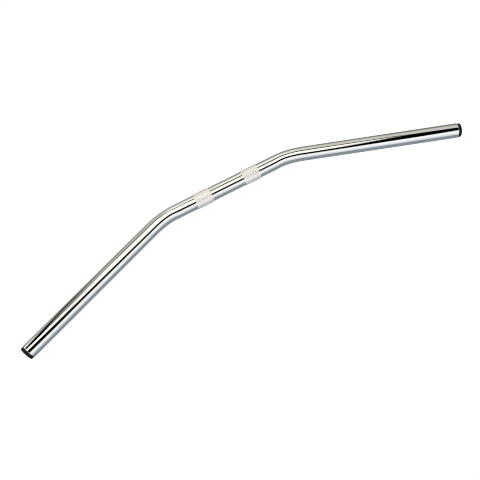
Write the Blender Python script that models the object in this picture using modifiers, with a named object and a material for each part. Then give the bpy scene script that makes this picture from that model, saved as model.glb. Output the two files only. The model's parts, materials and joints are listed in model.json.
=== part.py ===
"""Motorcycle drag handlebar: a bent chromed steel tube, two knurled clamp sleeves and two push-in end plugs.

Run it with: blender --background --python part.py

Metres, +Z up. The origin is on the tube's centre line, midway between the two clamp sleeves. The centre
section lies along X, with the rider's right hand at +X, and both arms sweep back towards the rider, along
-Y, in the plane Z = 0. Every other size follows from the driving dimensions below.
"""

from math import cos, pi, radians, sin

import bpy
from mathutils import Vector

MM = 0.001

# Tube: 7/8 inch steel handlebar tube, bent once on each side.
TUBE_RADIUS = 11.1 * MM
TUBE_WALL = 2.0 * MM
TUBE_END_CHAMFER = 0.4 * MM
CENTRE_HALF = 85.0 * MM
BEND_RADIUS = 128.0 * MM
SWEEP = radians(20.5)
ARM_LENGTH = 240.0 * MM

# Knurled sleeves: pressed onto the centre section where the two clamps grip it.
SLEEVE_RADIUS = 11.85 * MM
SLEEVE_LENGTH = 26.4 * MM
SLEEVE_CENTRE = 40.7 * MM
SLEEVE_CHAMFER = 0.35 * MM
PRESS_GAP = 0.1 * MM

# End plugs: a round head outside the tube, and a cored stem with ring lamellae inside it.
HEAD_RADIUS = 10.3 * MM
HEAD_THICKNESS = 4.8 * MM
HEAD_EDGE_RADIUS = 0.5 * MM
HEAD_BACK_CHAMFER = 0.3 * MM
PARTING_BEAD = 0.15 * MM
SEAT_GAP = 0.2 * MM
STEM_LENGTH = 22.0 * MM
STEM_CORE_RADIUS = 7.6 * MM
LAMELLA_RADIUS = TUBE_RADIUS - TUBE_WALL - 0.2 * MM
LAMELLA_COUNT = 5
LAMELLA_PITCH = 3.6 * MM
FIRST_LAMELLA = 4.0 * MM
LAMELLA_RAMP = 1.8 * MM
LAMELLA_BACK = 0.5 * MM
STEM_TIP_RADIUS = 6.4 * MM
CORE_HOLE_RADIUS = 5.0 * MM
CORE_HOLE_END = 1.5 * MM

# Facets. A side count that four divides, turned by half a side, puts a flat facet on top, below, in front
# and behind.
TUBE_SIDES = 32
BEND_STEPS = 10
PLUG_SIDES = 32
EDGE_STEPS = 3

RIGHT, LEFT = 1, -1
MERGE_DISTANCE = 1e-5


def clear_scene():
    for obj in list(bpy.data.objects):
        bpy.data.objects.remove(obj)


def make_material(name, colour, roughness, metallic):
    material = bpy.data.materials.new(name)
    material.use_nodes = True
    shader = material.node_tree.nodes["Principled BSDF"]
    shader.inputs["Base Color"].default_value = (*colour, 1.0)
    shader.inputs["Roughness"].default_value = roughness
    shader.inputs["Metallic"].default_value = metallic
    return material


def arm_direction(side):
    """The way an arm points, outwards from the bend to the tube's end."""
    return Vector((side * cos(SWEEP), -sin(SWEEP), 0.0))


def bend_point(side, turned):
    """The point of the centre line where the bend on that side has turned by this angle."""
    along = CENTRE_HALF + BEND_RADIUS * sin(turned)
    back = BEND_RADIUS * (1.0 - cos(turned))
    return Vector((side * along, -back, 0.0))


def tube_end(side):
    """The centre of the tube's open end on that side."""
    return bend_point(side, SWEEP) + ARM_LENGTH * arm_direction(side)


def centre_line():
    """The tube's centre line from its left end to its right end."""
    turns = [SWEEP * step / BEND_STEPS for step in range(BEND_STEPS + 1)]
    right_half = [bend_point(RIGHT, turned) for turned in turns] + [tube_end(RIGHT)]
    left_half = [bend_point(LEFT, turned) for turned in turns] + [tube_end(LEFT)]
    return left_half[::-1] + right_half


def set_smooth(mesh):
    mesh.shade_smooth()
    mesh.set_sharp_from_angle(angle=radians(30))


def add_object(name, mesh, material, collection):
    obj = bpy.data.objects.new(name, mesh)
    obj.data.materials.clear()
    obj.data.materials.append(material)
    collection.objects.link(obj)
    return obj


def swept_skin(points, radius, sides):
    """An open round skin along the points, as a mesh, with a flat facet on top."""
    curve = bpy.data.curves.new("centre_line", "CURVE")
    curve.dimensions = "3D"
    curve.twist_mode = "Z_UP"
    curve.bevel_depth = radius
    curve.bevel_resolution = (sides - 4) // 2
    spline = curve.splines.new("POLY")
    spline.points.add(len(points) - 1)
    for spline_point, point in zip(spline.points, points, strict=True):
        spline_point.co = (*point, 1.0)
        spline_point.tilt = pi / sides
    guide = bpy.data.objects.new("centre_line", curve)
    bpy.context.scene.collection.objects.link(guide)
    graph = bpy.context.evaluated_depsgraph_get()
    mesh = bpy.data.meshes.new_from_object(guide.evaluated_get(graph))
    bpy.data.objects.remove(guide)
    return mesh


def make_tube(material, collection):
    """The bent tube: an open skin, thickened inwards by the wall, with broken edges at both ends."""
    mesh = swept_skin(centre_line(), TUBE_RADIUS, TUBE_SIDES)
    tube = add_object("handlebar_tube", mesh, material, collection)
    wall = tube.modifiers.new("wall", "SOLIDIFY")
    wall.thickness = TUBE_WALL
    wall.offset = -1.0
    wall.use_even_offset = True
    chamfer = tube.modifiers.new("end_chamfer", "BEVEL")
    chamfer.width = TUBE_END_CHAMFER
    chamfer.segments = 1
    chamfer.limit_method = "ANGLE"
    chamfer.angle_limit = radians(60)
    set_smooth(mesh)
    return tube


def turned_object(name, profile, closed, sides, material, collection):
    """A turned piece from (place along X, radius) points. An open profile starts and ends on the axis."""
    mesh = bpy.data.meshes.new(name)
    ends = len(profile) if closed else len(profile) - 1
    edges = [(i, (i + 1) % len(profile)) for i in range(ends)]
    mesh.from_pydata([(along, 0.0, radius) for along, radius in profile], edges, [])
    piece = add_object(name, mesh, material, collection)
    lathe = piece.modifiers.new("lathe", "SCREW")
    lathe.axis = "X"
    lathe.angle = 2 * pi
    lathe.steps = sides
    lathe.render_steps = sides
    lathe.use_merge_vertices = True
    lathe.merge_threshold = MERGE_DISTANCE
    return piece


def sleeve_profile():
    """The sleeve's wall, as a closed ring with both outer edges chamfered."""
    half = SLEEVE_LENGTH / 2
    inner = TUBE_RADIUS + PRESS_GAP
    shoulder = SLEEVE_RADIUS - SLEEVE_CHAMFER
    return [
        (half, inner),
        (half, shoulder),
        (half - SLEEVE_CHAMFER, SLEEVE_RADIUS),
        (-half + SLEEVE_CHAMFER, SLEEVE_RADIUS),
        (-half, shoulder),
        (-half, inner),
    ]


def make_sleeve(name, side, material, collection):
    sleeve = turned_object(name, sleeve_profile(), True, TUBE_SIDES, material, collection)
    sleeve.location = (side * SLEEVE_CENTRE, 0.0, 0.0)
    sleeve.rotation_euler = (pi / TUBE_SIDES, 0.0, 0.0)
    return sleeve


def head_profile():
    """The plug's head, from the middle of its outer face round to the seat that meets the tube's end."""
    outer = SEAT_GAP + HEAD_THICKNESS
    middle = SEAT_GAP + HEAD_THICKNESS / 2
    corner = (outer - HEAD_EDGE_RADIUS, HEAD_RADIUS - HEAD_EDGE_RADIUS)
    turns = [pi / 2 * step / EDGE_STEPS for step in range(EDGE_STEPS + 1)]
    edge = [(corner[0] + HEAD_EDGE_RADIUS * cos(t), corner[1] + HEAD_EDGE_RADIUS * sin(t)) for t in turns]
    bead = [
        (middle + PARTING_BEAD, HEAD_RADIUS),
        (middle, HEAD_RADIUS + PARTING_BEAD),
        (middle - PARTING_BEAD, HEAD_RADIUS),
    ]
    back = [
        (SEAT_GAP + HEAD_BACK_CHAMFER, HEAD_RADIUS),
        (SEAT_GAP, HEAD_RADIUS - HEAD_BACK_CHAMFER),
    ]
    return [(outer, 0.0)] + edge + bead + back


def stem_profile():
    """The plug's stem, from the head's seat over its lamellae to the tip and back up its core hole."""
    points = [(SEAT_GAP, STEM_CORE_RADIUS)]
    for number in range(LAMELLA_COUNT):
        crest = -(FIRST_LAMELLA + number * LAMELLA_PITCH)
        points.append((crest + LAMELLA_BACK, STEM_CORE_RADIUS))
        points.append((crest, LAMELLA_RADIUS))
        points.append((crest - LAMELLA_RAMP, STEM_CORE_RADIUS))
    points.append((-STEM_LENGTH, STEM_TIP_RADIUS))
    points.append((-STEM_LENGTH, CORE_HOLE_RADIUS))
    points.append((-CORE_HOLE_END, CORE_HOLE_RADIUS))
    points.append((-CORE_HOLE_END, 0.0))
    return points


def make_plug(name, side, material, collection):
    """An end plug, with its origin at the tube's end and its own X axis along the arm."""
    profile = head_profile() + stem_profile()
    plug = turned_object(name, profile, False, PLUG_SIDES, material, collection)
    plug.location = tube_end(side)
    direction = arm_direction(side)
    plug.rotation_euler = direction.to_track_quat("X", "Z").to_euler()
    return plug


def main():
    clear_scene()
    collection = bpy.data.collections.new("handlebar")
    bpy.context.scene.collection.children.link(collection)
    chrome = make_material("polished_chrome", (0.80, 0.81, 0.82), 0.06, 1.0)
    knurl = make_material("knurled_chrome", (0.78, 0.78, 0.79), 0.35, 1.0)
    plastic = make_material("black_plastic", (0.02, 0.02, 0.02), 0.45, 0.0)
    make_tube(chrome, collection)
    for side, word in ((RIGHT, "right"), (LEFT, "left")):
        make_sleeve(f"{word}_knurled_sleeve", side, knurl, collection)
        make_plug(f"{word}_end_plug", side, plastic, collection)


main()
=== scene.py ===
"""The looks of the motorcycle handlebar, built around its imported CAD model.

Lengths are in metres, in the CAD's own frame: X along the clamped middle of the bar, Y forwards, Z up.
"""

import json
from math import atan2, cos, pi, radians, sin, tan

import bmesh
import bpy
import numpy as np
from mathutils import Matrix, Vector


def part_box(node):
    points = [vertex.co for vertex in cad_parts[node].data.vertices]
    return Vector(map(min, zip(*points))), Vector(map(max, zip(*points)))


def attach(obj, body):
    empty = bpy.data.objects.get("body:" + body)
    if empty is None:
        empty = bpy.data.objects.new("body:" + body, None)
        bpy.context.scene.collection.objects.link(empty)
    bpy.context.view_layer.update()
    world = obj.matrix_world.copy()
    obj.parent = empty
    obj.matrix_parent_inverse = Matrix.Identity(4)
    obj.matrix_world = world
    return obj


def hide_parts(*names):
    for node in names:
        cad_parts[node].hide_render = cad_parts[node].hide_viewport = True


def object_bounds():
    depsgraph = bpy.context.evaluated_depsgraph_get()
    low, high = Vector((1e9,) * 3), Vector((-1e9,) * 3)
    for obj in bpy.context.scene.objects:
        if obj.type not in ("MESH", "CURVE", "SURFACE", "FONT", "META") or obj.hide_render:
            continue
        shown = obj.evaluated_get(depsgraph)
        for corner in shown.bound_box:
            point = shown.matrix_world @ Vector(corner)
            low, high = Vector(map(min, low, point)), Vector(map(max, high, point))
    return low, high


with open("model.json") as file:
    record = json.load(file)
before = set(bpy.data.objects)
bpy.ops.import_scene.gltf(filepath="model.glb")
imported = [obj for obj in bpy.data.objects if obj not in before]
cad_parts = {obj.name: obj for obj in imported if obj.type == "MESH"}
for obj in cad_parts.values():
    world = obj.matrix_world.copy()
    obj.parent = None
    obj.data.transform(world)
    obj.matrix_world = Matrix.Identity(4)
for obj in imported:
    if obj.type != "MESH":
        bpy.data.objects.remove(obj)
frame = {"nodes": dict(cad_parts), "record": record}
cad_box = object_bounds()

MM = 0.001

# Camera: how far round the bar and above it, its tilt, and the point of the bar's plane that it looks at.
CAMERA_AZIMUTH = radians(-18.49)
CAMERA_ELEVATION = radians(66.09)
CAMERA_ROLL = radians(10.31)
CAMERA_DISTANCE = 754.5 * MM
CAMERA_AIM = Vector((-24.0, -88.9, 0.0)) * MM
CAMERA_LENS = 38.8
CAMERA_NEAR = 10 * MM
SENSOR_WIDTH = 36.0
PIXEL_FILTER = 1.0

# Bar tube. Bending has left it slightly oval and a little off its line, most in each bend's inner half.
BEND_RADIUS = 128.0 * MM
TUBE_WALL = 2.0 * MM
RIM_ROUND = 0.45 * MM
TUBE_SIDES = 160
STRAIGHT_STEP = 9.0 * MM
BEND_STEPS = 36
BEND_OVAL = 0.027
BEND_DRIFT = 0.2 * MM
BEND_SKEW = 0.55
RIM_STEPS = 4

# Diamond knurl on the two clamp bands.
KNURLS_ROUND = 64
KNURLS_ALONG = 17
KNURL_STEPS = 6
KNURL_DEPTH = 0.17 * MM
KNURL_SLOPE = 1.4
BAND_LAND = 0.45 * MM
BAND_CHAMFER = 0.35 * MM
GROOVE_END = 0.02 * MM
PRESS_GAP = 0.1 * MM

# End plugs: distances run outwards along the arm from the tube's open end.
PLUG_SIDES = 96
SEAT_GAP = 0.2 * MM
HEAD_EDGE = 0.5 * MM
HEAD_BACK = 0.35 * MM
HEAD_CROWN = 0.25 * MM
CROWN_STEPS = 6
EDGE_STEPS = 8
BEAD_HALF = 0.32 * MM
BEAD_HEIGHT = 0.15 * MM
BEAD_STEPS = 8
GATE_RADIUS = 1.3 * MM
GATE_DEPTH = 0.3 * MM
GATE_FLOOR_RADIUS = 0.7 * GATE_RADIUS
GATE_LIP_RADIUS = 0.9 * GATE_RADIUS
LIP_DEPTH = 0.08 * MM
STEM_LENGTH = 22.0 * MM
STEM_RADIUS = 7.6 * MM
LAMELLA_RADIUS = 8.9 * MM
LAMELLA_COUNT = 5
LAMELLA_PITCH = 3.6 * MM
LAMELLA_FIRST = 4.0 * MM
LAMELLA_RAMP = 1.8 * MM
LAMELLA_BACK = 0.5 * MM
LAMELLA_ROUND = 0.12 * MM
TIP_RADIUS = 6.4 * MM
TIP_ROUND = 0.4 * MM
CORE_RADIUS = 5.0 * MM
CORE_END = 1.5 * MM
CORE_MOUTH_ROUND = 0.3 * MM
CORE_CHAMFER = 0.5 * MM
SMALL_ROUND_STEPS = 4

RIGHT, LEFT = 1, -1
WORDS = {RIGHT: "right", LEFT: "left"}
SHARP_EDGE = radians(38)
MERGE_DISTANCE = 1e-7
SAME_PLACE = 0.01 * MM


# ------------------------------------------------------------ the frame

def half_height(node):
    """The radius of a round CAD node that lies in the bar's plane."""
    low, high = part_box(node)
    return (high[2] - low[2]) / 2


def arm_axis(side):
    """The outward direction of an arm, which is the way that its plug pulls out."""
    joints = frame["record"]["behaviour"]["joints"]
    joint = next(j for j in joints if j["name"] == f"{WORDS[side]}_plug_pull")
    return Vector(joint["axis"]).normalized()


def tube_end(side):
    """The centre of the tube's open end."""
    points = np.array([vertex.co[:] for vertex in frame["nodes"]["handlebar_tube"].data.vertices])
    along = points @ np.array(arm_axis(side))
    return Vector(points[along > along.max() - SAME_PLACE].mean(axis=0))


def plug_face(side):
    """How far the plug's outer face stands beyond the tube's open end."""
    mounts = frame["record"]["mounts"]
    face = next(m for m in mounts if m["name"] == f"{WORDS[side]}_bar_end")
    return (Vector(face["pos_m"]) - tube_end(side)).dot(arm_axis(side))


# ------------------------------------------------------------ mesh helpers

def ring_mesh(name, rings, closed, slots=None):
    """Quads from ring to ring, and back to the first if closed. slots gives each strip's material."""
    count = len(rings[0])
    around = np.arange(count)
    following = (around + 1) % count
    strips = len(rings) if closed else len(rings) - 1
    faces = []
    for strip in range(strips):
        here = strip * count
        there = (strip + 1) % len(rings) * count
        corners = [here + around, here + following, there + following, there + around]
        faces.append(np.stack(corners, axis=1))
    mesh = bpy.data.meshes.new(name)
    mesh.from_pydata(np.concatenate(rings).tolist(), [], np.concatenate(faces).tolist())
    if slots:
        mesh.polygons.foreach_set("material_index", np.repeat(slots[:strips], count))
    tidy = bmesh.new()
    tidy.from_mesh(mesh)
    bmesh.ops.remove_doubles(tidy, verts=tidy.verts, dist=MERGE_DISTANCE)
    bmesh.ops.recalc_face_normals(tidy, faces=tidy.faces)
    tidy.to_mesh(mesh)
    tidy.free()
    mesh.shade_smooth()
    mesh.set_sharp_from_angle(angle=SHARP_EDGE)
    return mesh


def new_object(name, mesh, *materials):
    piece = bpy.data.objects.new(name, mesh)
    for material in materials:
        mesh.materials.append(material)
    bpy.context.scene.collection.objects.link(piece)
    return piece


def quarter_round(centre_x, centre_r, size, first, last, steps):
    """(x, radius) points round a quarter circle between two angles, given in quarter turns."""
    angles = [pi / 2 * (first + (last - first) * step / steps) for step in range(steps + 1)]
    return [(centre_x + size * cos(a), centre_r + size * sin(a)) for a in angles]


def turned_rings(profile, sides):
    """Rings about the X axis for (x, radius) points."""
    angles = 2 * pi * np.arange(sides) / sides
    rings = []
    for x, radius in profile:
        ring = [np.full(sides, x), radius * np.cos(angles), radius * np.sin(angles)]
        rings.append(np.stack(ring, axis=1))
    return rings


# ------------------------------------------------------------ bar tube

def half_line():
    """(point, heading) from the middle of the bar to its right end. A heading turns from +X towards +Y."""
    end = tube_end(RIGHT)
    axis = arm_axis(RIGHT)
    sweep = atan2(-axis.y, axis.x)
    corner = end.x - end.y * axis.x / axis.y
    centre_half = corner - BEND_RADIUS * tan(sweep / 2)
    steps = range(int(centre_half / STRAIGHT_STEP))
    line = [(Vector(((step + 0.5) * STRAIGHT_STEP, 0.0, 0.0)), 0.0) for step in steps]
    for step in range(BEND_STEPS + 1):
        turned = sweep * step / BEND_STEPS
        x = centre_half + BEND_RADIUS * sin(turned)
        y = -BEND_RADIUS * (1 - cos(turned))
        line.append((Vector((x, y, 0.0)), -turned))
    bend_end = line[-1][0]
    arm = (end - bend_end).length - 2 * RIM_ROUND
    for step in range(1, int(arm / STRAIGHT_STEP)):
        line.append((bend_end + step * STRAIGHT_STEP * axis, -sweep))
    line.append((bend_end + arm * axis, -sweep))
    return line


def bend_share(heading):
    """0 along the straights, rising to 1 in the inner half of each bend."""
    axis = arm_axis(RIGHT)
    turned = abs(heading) / atan2(-axis.y, axis.x)
    return sin(pi * turned ** BEND_SKEW) ** 2


def tube_ring(point, heading, radius):
    """A ring of points round the centre line, square to its heading and slightly oval in the bends."""
    angles = 2 * pi * np.arange(TUBE_SIDES) / TUBE_SIDES
    square = np.array((-sin(heading), cos(heading), 0.0))
    up = np.array((0.0, 0.0, 1.0))
    oval = BEND_OVAL * bend_share(heading)
    across = BEND_DRIFT * bend_share(heading) + radius * (1 - oval) * np.cos(angles)
    height = radius * (1 + oval) * np.sin(angles)
    return np.array(point) + across[:, None] * square + height[:, None] * up


def rim_rings(side, heading, outer, inner):
    """The rings of an open end, from its outer edge over its flat rim to its bore."""
    profile = quarter_round(-RIM_ROUND, outer - RIM_ROUND, RIM_ROUND, 1, 0, RIM_STEPS)
    profile += quarter_round(-RIM_ROUND, inner + RIM_ROUND, RIM_ROUND, 0, -1, RIM_STEPS)
    end = tube_end(side)
    axis = arm_axis(side)
    return [tube_ring(end + x * axis, heading, radius) for x, radius in profile]


def make_tube(chrome, steel):
    """The whole tube as one closed skin: chrome outside and round both rims, bare steel in the bore."""
    outer = half_height("handlebar_tube")
    inner = outer - TUBE_WALL
    right_half = half_line()
    left_half = [(Vector((-point.x, point.y, 0.0)), -heading) for point, heading in right_half[::-1]]
    line = left_half + right_half
    skin = [tube_ring(point, heading, outer) for point, heading in line]
    right_rim = rim_rings(RIGHT, line[-1][1], outer, inner)
    bore = [tube_ring(point, heading, inner) for point, heading in line[::-1]]
    left_rim = rim_rings(LEFT, line[0][1], outer, inner)
    rings = skin + right_rim + bore + left_rim[::-1]
    slots = [0] * (len(skin) + len(right_rim)) + [1] * len(bore) + [0] * len(left_rim)
    tube = new_object("bar_tube", ring_mesh("bar_tube", rings, True, slots), chrome, steel)
    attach(tube, "bar")
    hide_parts("handlebar_tube")


# ------------------------------------------------------------ clamp bands

def ridge(turns):
    """0 in a groove, which is at each whole number, rising to 1 halfway between two grooves."""
    return 1.0 - np.abs(2.0 * (turns % 1.0) - 1.0)


def knurl_rings(start, length, radius):
    """Rings along X that rise and fall over two crossing sets of grooves, with slightly flat peaks."""
    sides = KNURLS_ROUND * KNURL_STEPS
    angles = 2 * pi * np.arange(sides) / sides
    around = KNURLS_ROUND * np.arange(sides) / sides
    rings = []
    for step in range(KNURLS_ALONG * KNURL_STEPS + 1):
        along = step / KNURL_STEPS
        height = np.minimum(ridge(around + along), ridge(around - along))
        radii = radius - KNURL_DEPTH * (1.0 - np.minimum(height * KNURL_SLOPE, 1.0))
        x = np.full(sides, start + length * step / (KNURLS_ALONG * KNURL_STEPS))
        rings.append(np.stack([x, radii * np.cos(angles), radii * np.sin(angles)], axis=1))
    return rings


def make_band(side, knurled):
    """A knurled clamp band, with a smooth land and a chamfer at each end."""
    node = f"{WORDS[side]}_knurled_sleeve"
    low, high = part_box(node)
    radius = half_height(node)
    shoulder = radius - BAND_CHAMFER
    inner = half_height("handlebar_tube") + PRESS_GAP
    sides = KNURLS_ROUND * KNURL_STEPS
    start = low[0] + BAND_CHAMFER + BAND_LAND
    length = high[0] - low[0] - 2 * (BAND_CHAMFER + BAND_LAND)
    left_land = [
        (low[0], inner),
        (low[0], shoulder),
        (low[0] + BAND_CHAMFER, radius),
        (start - GROOVE_END, radius),
    ]
    right_land = [
        (start + length + GROOVE_END, radius),
        (high[0] - BAND_CHAMFER, radius),
        (high[0], shoulder),
        (high[0], inner),
    ]
    rings = turned_rings(left_land, sides) + knurl_rings(start, length, radius)
    rings += turned_rings(right_land, sides)
    name = f"{WORDS[side]}_clamp_band"
    band = new_object(name, ring_mesh(name, rings, True), knurled)
    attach(band, "bar")
    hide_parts(node)


# ------------------------------------------------------------ end plugs

def head_profile(face, radius):
    """The plug's head, from the gate mark in its crowned face round to the seat against the tube."""
    middle = (SEAT_GAP + face) / 2
    points = [
        (face - GATE_DEPTH, 0.0),
        (face - GATE_DEPTH, GATE_FLOOR_RADIUS),
        (face - LIP_DEPTH, GATE_LIP_RADIUS),
        (face, GATE_RADIUS),
    ]
    flat = radius - HEAD_EDGE
    for step in range(1, CROWN_STEPS + 1):
        share = step / CROWN_STEPS
        along = GATE_RADIUS + (flat - GATE_RADIUS) * share
        points.append((face - HEAD_CROWN * share * share, along))
    edge_x = face - HEAD_CROWN - HEAD_EDGE
    points += quarter_round(edge_x, flat, HEAD_EDGE, 0, 1, EDGE_STEPS)[1:]
    for step in range(BEAD_STEPS + 1):
        turn = pi * step / BEAD_STEPS
        points.append((middle + BEAD_HALF * cos(turn), radius + BEAD_HEIGHT * sin(turn)))
    back_x = SEAT_GAP + HEAD_BACK
    points += quarter_round(back_x, radius - HEAD_BACK, HEAD_BACK, 1, 2, SMALL_ROUND_STEPS)
    return points


def stem_profile():
    """The plug's stem, from the seat over its ring lamellae to the tip and back up its core hole."""
    points = [(SEAT_GAP, STEM_RADIUS)]
    for number in range(LAMELLA_COUNT):
        crest = -(LAMELLA_FIRST + number * LAMELLA_PITCH)
        points.append((crest + LAMELLA_BACK, STEM_RADIUS))
        points.append((crest + LAMELLA_ROUND, LAMELLA_RADIUS - LAMELLA_ROUND))
        points.append((crest, LAMELLA_RADIUS))
        points.append((crest - 2 * LAMELLA_ROUND, LAMELLA_RADIUS - LAMELLA_ROUND))
        points.append((crest - LAMELLA_RAMP, STEM_RADIUS))
    tip_x = -STEM_LENGTH + TIP_ROUND
    points += quarter_round(tip_x, TIP_RADIUS - TIP_ROUND, TIP_ROUND, 1, 2, SMALL_ROUND_STEPS)
    mouth_x = -STEM_LENGTH + CORE_MOUTH_ROUND
    mouth_radius = CORE_RADIUS + CORE_MOUTH_ROUND
    points += quarter_round(mouth_x, mouth_radius, CORE_MOUTH_ROUND, 2, 3, SMALL_ROUND_STEPS)
    points.append((-CORE_END - CORE_CHAMFER, CORE_RADIUS))
    points.append((-CORE_END, CORE_RADIUS - CORE_CHAMFER))
    points.append((-CORE_END, 0.0))
    return points


def make_plug(side, plastic):
    """A push-in end plug, seated in the tube's open end."""
    node = f"{WORDS[side]}_end_plug"
    radius = half_height(node) - BEAD_HEIGHT
    profile = head_profile(plug_face(side), radius) + stem_profile()
    name = f"{WORDS[side]}_push_plug"
    mesh = ring_mesh(name, turned_rings(profile, PLUG_SIDES), False)
    turn = arm_axis(side).to_track_quat("X", "Z").to_matrix().to_4x4()
    mesh.transform(Matrix.Translation(tube_end(side)) @ turn)
    plug = new_object(name, mesh, plastic)
    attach(plug, f"{WORDS[side]}_plug")
    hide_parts(node)


# ------------------------------------------------------------ materials

UNSTRETCHED = (1, 1, 1)
CHROME_PLAIN = (0.62, 0.63, 0.635)
CHROME_DARK = (0.605, 0.612, 0.615)
CHROME_LIGHT = (0.64, 0.645, 0.65)
KNURL_PLAIN = (0.9, 0.87, 0.86)
KNURL_GROOVE = (0.78, 0.75, 0.742)
KNURL_FLANK = (0.887, 0.853, 0.843)
KNURL_PEAK = (0.93, 0.89, 0.88)
STEEL_PLAIN = (0.3, 0.29, 0.27)
STEEL_DARK = (0.16, 0.15, 0.14)
STEEL_LIGHT = (0.34, 0.33, 0.31)
PLASTIC_PLAIN = (0.006, 0.006, 0.005)
PLASTIC_DARK = (0.004, 0.004, 0.003)
PLASTIC_LIGHT = (0.011, 0.011, 0.009)
PLASTIC_SPECULAR = 0.14


def new_material(name, colour, roughness, metallic):
    material = bpy.data.materials.new(name)
    material.use_nodes = True
    shader = material.node_tree.nodes["Principled BSDF"]
    shader.inputs["Base Color"].default_value = (*colour, 1.0)
    shader.inputs["Roughness"].default_value = roughness
    shader.inputs["Metallic"].default_value = metallic
    return material, material.node_tree, shader


def add_node(tree, kind, **values):
    """A node, with the given values set on its properties or on its sockets."""
    node = tree.nodes.new(kind)
    for key, value in values.items():
        if hasattr(node, key):
            setattr(node, key, value)
        else:
            node.inputs[key.replace("_", " ")].default_value = value
    return node


def object_space(tree, stretch):
    """The piece's own coordinates, stretched along each axis."""
    source = add_node(tree, "ShaderNodeTexCoord")
    mapping = add_node(tree, "ShaderNodeMapping", Scale=stretch)
    tree.links.new(source.outputs["Object"], mapping.inputs["Vector"])
    return mapping.outputs["Vector"]


def noise(tree, stretch, scale, detail=3.0):
    """Smooth random values over the piece's own space."""
    texture = add_node(tree, "ShaderNodeTexNoise", Scale=scale, Detail=detail)
    tree.links.new(object_space(tree, stretch), texture.inputs["Vector"])
    return texture.outputs["Fac"]


def ramp(tree, value, low, high, first, last):
    """value, spread from low..high to first..last."""
    node = add_node(tree, "ShaderNodeMapRange")
    for key, number in zip(("From Min", "From Max", "To Min", "To Max"), (low, high, first, last)):
        node.inputs[key].default_value = number
    tree.links.new(value, node.inputs["Value"])
    return node.outputs["Result"]


def colour_ramp(tree, value, *stops):
    """A colour that changes with value, from (place, colour) stops."""
    node = add_node(tree, "ShaderNodeValToRGB")
    elements = node.color_ramp.elements
    while len(elements) < len(stops):
        elements.new(0.5)
    for element, (place, colour) in zip(elements, stops):
        element.position = place
        element.color = (*colour, 1.0)
    tree.links.new(value, node.inputs["Fac"])
    return node.outputs["Color"]


def bump(tree, shader, height, strength, distance):
    """Fine relief, finer than the mesh carries."""
    node = add_node(tree, "ShaderNodeBump", Strength=strength, Distance=distance)
    tree.links.new(height, node.inputs["Height"])
    tree.links.new(node.outputs["Normal"], shader.inputs["Normal"])


def make_chrome():
    """Bright nickel-chrome plate: a clean mirror with the faintest polishing haze and orange peel."""
    material, tree, shader = new_material("mirror_chrome", CHROME_PLAIN, roughness=0.04, metallic=1.0)
    tone = noise(tree, UNSTRETCHED, scale=30.0)
    colour = colour_ramp(tree, tone, (0.3, CHROME_DARK), (0.7, CHROME_LIGHT))
    tree.links.new(colour, shader.inputs["Base Color"])
    polish = noise(tree, stretch=(12, 300, 300), scale=3.0, detail=5.0)
    haze = ramp(tree, polish, low=0.35, high=0.75, first=0.015, last=0.045)
    tree.links.new(haze, shader.inputs["Roughness"])
    peel = noise(tree, UNSTRETCHED, scale=260.0, detail=2.0)
    bump(tree, shader, peel, strength=0.02, distance=0.1 * MM)
    return material


def distance_from_axis(tree):
    """How far a point stands from the X axis, in the piece's own space."""
    source = add_node(tree, "ShaderNodeTexCoord")
    flat = add_node(tree, "ShaderNodeVectorMath", operation="MULTIPLY")
    flat.inputs[1].default_value = (0.0, 1.0, 1.0)
    length = add_node(tree, "ShaderNodeVectorMath", operation="LENGTH")
    tree.links.new(source.outputs["Object"], flat.inputs[0])
    tree.links.new(flat.outputs["Vector"], length.inputs[0])
    return length.outputs["Value"]


def make_knurled(radius):
    """Chrome over the knurl: satin in the grooves, where the plate is rough, and brighter on the peaks."""
    material, tree, shader = new_material("knurled_plate", KNURL_PLAIN, roughness=0.4, metallic=0.75)
    reach = distance_from_axis(tree)
    height = ramp(tree, reach, low=radius - KNURL_DEPTH, high=radius, first=0.0, last=1.0)
    colour = colour_ramp(tree, height, (0.0, KNURL_GROOVE), (0.8, KNURL_FLANK), (1.0, KNURL_PEAK))
    tree.links.new(colour, shader.inputs["Base Color"])
    rubbing = ramp(tree, height, low=0.0, high=1.0, first=0.48, last=0.34)
    tree.links.new(rubbing, shader.inputs["Roughness"])
    grain = noise(tree, UNSTRETCHED, scale=2500.0)
    bump(tree, shader, grain, strength=0.15, distance=0.03 * MM)
    return material


def make_steel():
    """Bare drawn steel in the bore, with draw lines and a dull oil film."""
    material, tree, shader = new_material("bare_steel", STEEL_PLAIN, roughness=0.5, metallic=1.0)
    lines = noise(tree, stretch=(4, 90, 90), scale=8.0, detail=6.0)
    colour = colour_ramp(tree, lines, (0.3, STEEL_DARK), (0.7, STEEL_LIGHT))
    tree.links.new(colour, shader.inputs["Base Color"])
    film = ramp(tree, lines, low=0.3, high=0.7, first=0.35, last=0.6)
    tree.links.new(film, shader.inputs["Roughness"])
    bump(tree, shader, lines, strength=0.3, distance=0.05 * MM)
    return material


def make_plastic():
    """Moulded black polyethylene, with a fine spark-eroded grain and slightly shiny rubbed places."""
    material, tree, shader = new_material("moulded_black", PLASTIC_PLAIN, roughness=0.5, metallic=0.0)
    shader.inputs["Specular IOR Level"].default_value = PLASTIC_SPECULAR
    tone = noise(tree, UNSTRETCHED, scale=160.0)
    colour = colour_ramp(tree, tone, (0.3, PLASTIC_DARK), (0.75, PLASTIC_LIGHT))
    tree.links.new(colour, shader.inputs["Base Color"])
    rubbed = noise(tree, UNSTRETCHED, scale=420.0)
    shine = ramp(tree, rubbed, low=0.3, high=0.7, first=0.36, last=0.52)
    tree.links.new(shine, shader.inputs["Roughness"])
    grain = noise(tree, UNSTRETCHED, scale=5200.0, detail=2.0)
    bump(tree, shader, grain, strength=0.25, distance=0.04 * MM)
    return material


# ------------------------------------------------------------ studio

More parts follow.
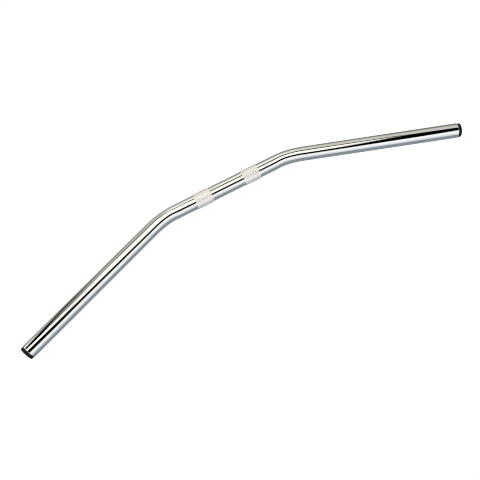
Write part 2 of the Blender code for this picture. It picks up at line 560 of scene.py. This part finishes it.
CEILING_HEIGHT = 520 * MM
CEILING_HALF = 1.9
CEILING_STEPS = 190
CEILING_BASE = (0.90, 0.88, 0.79)

# Soft-edged panels overhead, each laid over the ones before it: centre x and y, half width and half depth,
# turn in degrees, softness of the edge, and colour. They were tuned until the bands that they throw along
# the chrome stood where the photo has them.
BLACK = (0.0, 0.0, 0.0)
PANELS = (
    (-0.45, 0.85, 0.40, 0.60, 15, 0.15, (0.65, 0.62, 0.54)),  # grey card in front, left
    (1.40, 0.75, 0.35, 0.60, 0, 0.25, (0.70, 0.70, 0.60)),  # grey card in front, right
    (0.15, 0.65, 0.25, 0.30, 10, 0.15, (1.45, 1.42, 1.35)),  # cream reflector in front
    (0.10, 0.25, 0.45, 0.07, -25, 0.06, (0.05, 0.04, 0.01)),  # gap between the reflector and the lamp
    (-0.30, 0.05, 0.30, 0.20, 15, 0.08, (1.75, 1.70, 1.60)),  # lamp, left half
    (0.10, -0.05, 0.35, 0.15, -10, 0.08, (1.65, 1.60, 1.50)),  # lamp, right half
    (-0.60, 0.25, 0.12, 0.06, 15, 0.06, BLACK),  # rail along the lamp's front edge, left
    (-0.70, 0.95, 0.08, 0.90, 20, 0.16, (0.35, 0.33, 0.28)),  # curtain in front, left
    (-1.05, 0.80, 0.20, 0.90, 20, 0.04, (1.60, 1.60, 1.55)),  # window beyond the curtain
    (-0.77, 0.90, 0.05, 0.90, 19, 0.05, BLACK),  # window frame
    (-0.97, 1.45, 0.13, 0.50, 20, 0.08, BLACK),  # dark corner beyond the frame
    (0.45, -0.25, 0.25, 0.18, 45, 0.10, BLACK),  # flag beside the lamp, right
    (-0.35, -0.40, 0.25, 0.20, -15, 0.06, BLACK),  # flag beside the lamp, left
    (0.05, -0.38, 0.35, 0.15, -5, 0.02, BLACK),  # batten between the flags
    (0.05, -1.40, 1.60, 0.65, 15, 0.10, (1.50, 1.50, 1.50)),  # white card behind the rider
)


def soft_step(x):
    """0 below x = 0 and 1 above x = 1, with a smooth rise between them."""
    x = np.clip(x, 0.0, 1.0)
    return x * x * (3.0 - 2.0 * x)


def ceiling_light(x, y):
    """The colour that each point of the overhead panels glows with."""
    light = np.ones((len(x), 3)) * CEILING_BASE
    for centre_x, centre_y, half_x, half_y, turn, soft, colour in PANELS:
        turn_cos = cos(radians(turn))
        turn_sin = sin(radians(turn))
        across = np.abs((x - centre_x) * turn_cos + (y - centre_y) * turn_sin)
        ahead = np.abs((y - centre_y) * turn_cos - (x - centre_x) * turn_sin)
        cover = soft_step((half_x - across) / soft + 0.5) * soft_step((half_y - ahead) / soft + 0.5)
        light += cover[:, None] * (np.array(colour) - light)
    return light


def glow_material(name, strength=1.0, attribute=None):
    """A plain light-emitting surface, white or coloured by a mesh attribute."""
    material = bpy.data.materials.new(name)
    material.use_nodes = True
    tree = material.node_tree
    tree.nodes.clear()
    glow = add_node(tree, "ShaderNodeEmission", Strength=strength)
    output = add_node(tree, "ShaderNodeOutputMaterial")
    tree.links.new(glow.outputs["Emission"], output.inputs["Surface"])
    if attribute:
        source = add_node(tree, "ShaderNodeAttribute", attribute_name=attribute)
        tree.links.new(source.outputs["Color"], glow.inputs["Color"])
    material.cycles.emission_sampling = "NONE"
    return material


def grid_mesh(name, points, rows, columns, colours=None):
    """A sheet of quads over rows x columns points, with a colour at each point."""
    corners = np.arange(rows * columns).reshape(rows, columns)
    faces = np.stack([corners[:-1, :-1], corners[:-1, 1:], corners[1:, 1:], corners[1:, :-1]], axis=2)
    mesh = bpy.data.meshes.new(name)
    mesh.from_pydata(points.tolist(), [], faces.reshape(-1, 4).tolist())
    if colours is not None:
        layer = mesh.color_attributes.new("light", "FLOAT_COLOR", "POINT")
        layer.data.foreach_set("color", np.column_stack([colours, np.ones(len(colours))]).ravel())
    return mesh


def seen_only_by(stage_object, *rays):
    """Keeps a stage object out of every kind of ray but these."""
    for ray in ("camera", "diffuse", "glossy", "transmission", "volume_scatter", "shadow"):
        setattr(stage_object, f"visible_{ray}", ray in rays)


def make_ceiling():
    """The overhead light plan, which only the chrome sees."""
    side = np.linspace(-CEILING_HALF, CEILING_HALF, CEILING_STEPS + 1)
    x, y = (axis.ravel() for axis in np.meshgrid(side, side))
    points = np.stack([x, y, np.full(len(x), CEILING_HEIGHT)], axis=1)
    mesh = grid_mesh("studio_ceiling", points, len(side), len(side), ceiling_light(x, y))
    ceiling = new_object("studio_ceiling", mesh, glow_material("ceiling_glow", attribute="light"))
    seen_only_by(ceiling, "glossy")


WALL_RADIUS = 1.8
WALL_STEPS = 480
WALL_FOOT = -300 * MM
BEHIND_SPREAD = 0.6

# The room round the table, as (height, colour in front, colour behind the rider).
WALL_BANDS = (
    (WALL_FOOT, (0.44, 0.43, 0.40), (1.06, 1.09, 1.10)),
    (0.0, (0.44, 0.43, 0.40), (1.10, 1.13, 1.14)),
    (CEILING_HEIGHT / 2, (0.48, 0.47, 0.43), (1.18, 1.18, 1.19)),
    (CEILING_HEIGHT, (0.80, 0.78, 0.71), (1.34, 1.33, 1.32)),
)

# How bright the front of the room is, by degrees round from behind the rider: a doorway on the right, pale
# doors in the middle, a curtain and then a window on the left.
WALL_TONES = (
    (125, 0.5),
    (140, 1.0),
    (165, 0.95),
    (180, 1.45),
    (195, 1.45),
    (205, 0.65),
    (212, 0.1),
    (214, 0.1),
    (216, 1.3),
)


def make_wall():
    """The room round the table: bright behind the rider, dull and uneven in front."""
    turns = 2 * pi * np.arange(WALL_STEPS + 1) / WALL_STEPS
    ring = np.stack([WALL_RADIUS * np.sin(turns), -WALL_RADIUS * np.cos(turns)], axis=1)
    behind = soft_step(0.5 + BEHIND_SPREAD * np.cos(turns))[:, None]
    degrees, tones = zip(*WALL_TONES)
    tone = np.interp(turns, np.radians(degrees), tones)[:, None]
    points = []
    colours = []
    for height, front, back in WALL_BANDS:
        points.append(np.column_stack([ring, np.full(len(ring), height)]))
        toned = tone * front
        colours.append(toned + behind * (back - toned))
    rows = len(WALL_BANDS)
    mesh = grid_mesh("studio_wall", np.concatenate(points), rows, len(turns), np.concatenate(colours))
    wall = new_object("studio_wall", mesh, glow_material("wall_glow", attribute="light"))
    seen_only_by(wall, "glossy")


FLOOR_HALF = 6.0
FLOOR_GLOW = 1.02

# The table as the chrome sees it: a shade under the bar that clears towards the rider, and dull in front,
# most of all on the right.
TABLE_SHADE = np.array((0.37, 0.43, 0.47))
TABLE_NEAR = np.array((0.95, 0.98, 1.00))
TABLE_FAR = np.array((1.08, 1.11, 1.12))
TABLE_FRONT = np.array((0.48, 0.47, 0.43))
TABLE_DULL = np.array((0.28, 0.28, 0.27))
DULL_REACH = 350 * MM
SHADE_START = 52 * MM
SHADE_CLEAR = 125 * MM
SHADE_GONE = 500 * MM
FRONT_BLEND = 30 * MM
NEAR_DROP = 1 * MM
NEAR_CELL = 6 * MM
NEAR_MARGIN = 180 * MM
FAR_DROP = 2 * MM
FAR_CELLS = 60


def bar_line():
    """Points along the tube's whole centre line, from left to right, in plan."""
    right_half = np.array([(point.x, point.y) for point, _ in half_line()])
    return np.concatenate([right_half[::-1] * (-1, 1), right_half])


def table_light(x, y, line):
    """The colour of each point of the table. On the rider's side it clears away from the bar."""
    gaps = np.stack([np.hypot(x - bar_x, y - bar_y) for bar_x, bar_y in line])
    away = gaps.min(axis=0)
    ahead = y - np.interp(x, line[:, 0], line[:, 1])
    near = soft_step((away - SHADE_START) / (SHADE_CLEAR - SHADE_START))
    far = soft_step((away - SHADE_START) / (SHADE_GONE - SHADE_START))
    rider = TABLE_SHADE + near[:, None] * (TABLE_NEAR - TABLE_SHADE)
    rider = rider + far[:, None] * (TABLE_FAR - rider)
    front = soft_step(0.5 + ahead / (2 * FRONT_BLEND))[:, None]
    dull = soft_step(x / DULL_REACH)[:, None]
    return rider + front * (TABLE_FRONT + dull * (TABLE_DULL - TABLE_FRONT) - rider)


def make_table_light(name, low, xs, ys, line):
    """A level sheet over the given coordinates, glowing for the chrome only."""
    x, y = (axis.ravel() for axis in np.meshgrid(xs, ys))
    points = np.stack([x, y, np.full(len(x), low)], axis=1)
    mesh = grid_mesh(name, points, len(ys), len(xs), table_light(x, y, line))
    sheet = new_object(name, mesh, glow_material(f"{name}_glow", attribute="light"))
    seen_only_by(sheet, "glossy")


def make_floor():
    """A plain white table. The camera sees it evenly white; the chrome sees the bar's soft shade on it."""
    low = cad_box[0][2]
    line = bar_line()
    edges = (-FLOOR_HALF, FLOOR_HALF)
    corners = np.array([(x, y, low) for y in edges for x in edges])
    mesh = grid_mesh("floor", corners, 2, 2)
    floor = new_object("floor", mesh, glow_material("floor_glow", FLOOR_GLOW))
    seen_only_by(floor, "camera")
    far = np.linspace(-FLOOR_HALF, FLOOR_HALF, FAR_CELLS + 1)
    make_table_light("table_far", low - FAR_DROP, far, far, line)
    near_x = np.arange(cad_box[0][0] - NEAR_MARGIN, cad_box[1][0] + NEAR_MARGIN, NEAR_CELL)
    near_y = np.arange(cad_box[0][1] - NEAR_MARGIN, cad_box[1][1] + NEAR_MARGIN, NEAR_CELL)
    make_table_light("table_near", low - NEAR_DROP, near_x, near_y, line)


def make_world():
    """Even white light from all round."""
    world = bpy.data.worlds.new("studio")
    world.use_nodes = True
    background = world.node_tree.nodes["Background"]
    background.inputs["Color"].default_value = (1.0, 1.0, 1.0, 1.0)
    background.inputs["Strength"].default_value = 1.0
    bpy.context.scene.world = world


def make_camera():
    """The camera, turned round the point that it looks at."""
    back = Vector((
        sin(CAMERA_AZIMUTH) * cos(CAMERA_ELEVATION),
        -cos(CAMERA_AZIMUTH) * cos(CAMERA_ELEVATION),
        sin(CAMERA_ELEVATION),
    ))
    level = Vector((cos(CAMERA_AZIMUTH), sin(CAMERA_AZIMUTH), 0.0))
    upright = back.cross(level)
    right = level * cos(CAMERA_ROLL) - upright * sin(CAMERA_ROLL)
    up = upright * cos(CAMERA_ROLL) + level * sin(CAMERA_ROLL)
    data = bpy.data.cameras.new("camera")
    data.lens = CAMERA_LENS
    data.sensor_width = SENSOR_WIDTH
    data.clip_start = CAMERA_NEAR
    camera = bpy.data.objects.new("camera", data)
    turn = Matrix((right, up, back)).transposed().to_4x4()
    camera.matrix_world = Matrix.Translation(CAMERA_AIM + CAMERA_DISTANCE * back) @ turn
    bpy.context.scene.collection.objects.link(camera)
    bpy.context.scene.camera = camera


def plain_colours():
    """Shows the studio's white as white, with no film curve, and keeps thin reflections crisp."""
    bpy.context.scene.view_settings.view_transform = "Standard"
    bpy.context.scene.view_settings.look = "None"
    bpy.context.scene.cycles.filter_width = PIXEL_FILTER


def main():
    chrome = make_chrome()
    make_tube(chrome, make_steel())
    knurled = make_knurled(half_height("left_knurled_sleeve"))
    plastic = make_plastic()
    for side in (RIGHT, LEFT):
        make_band(side, knurled)
        make_plug(side, plastic)
    make_floor()
    make_ceiling()
    make_wall()
    make_world()
    make_camera()
    plain_colours()


main()
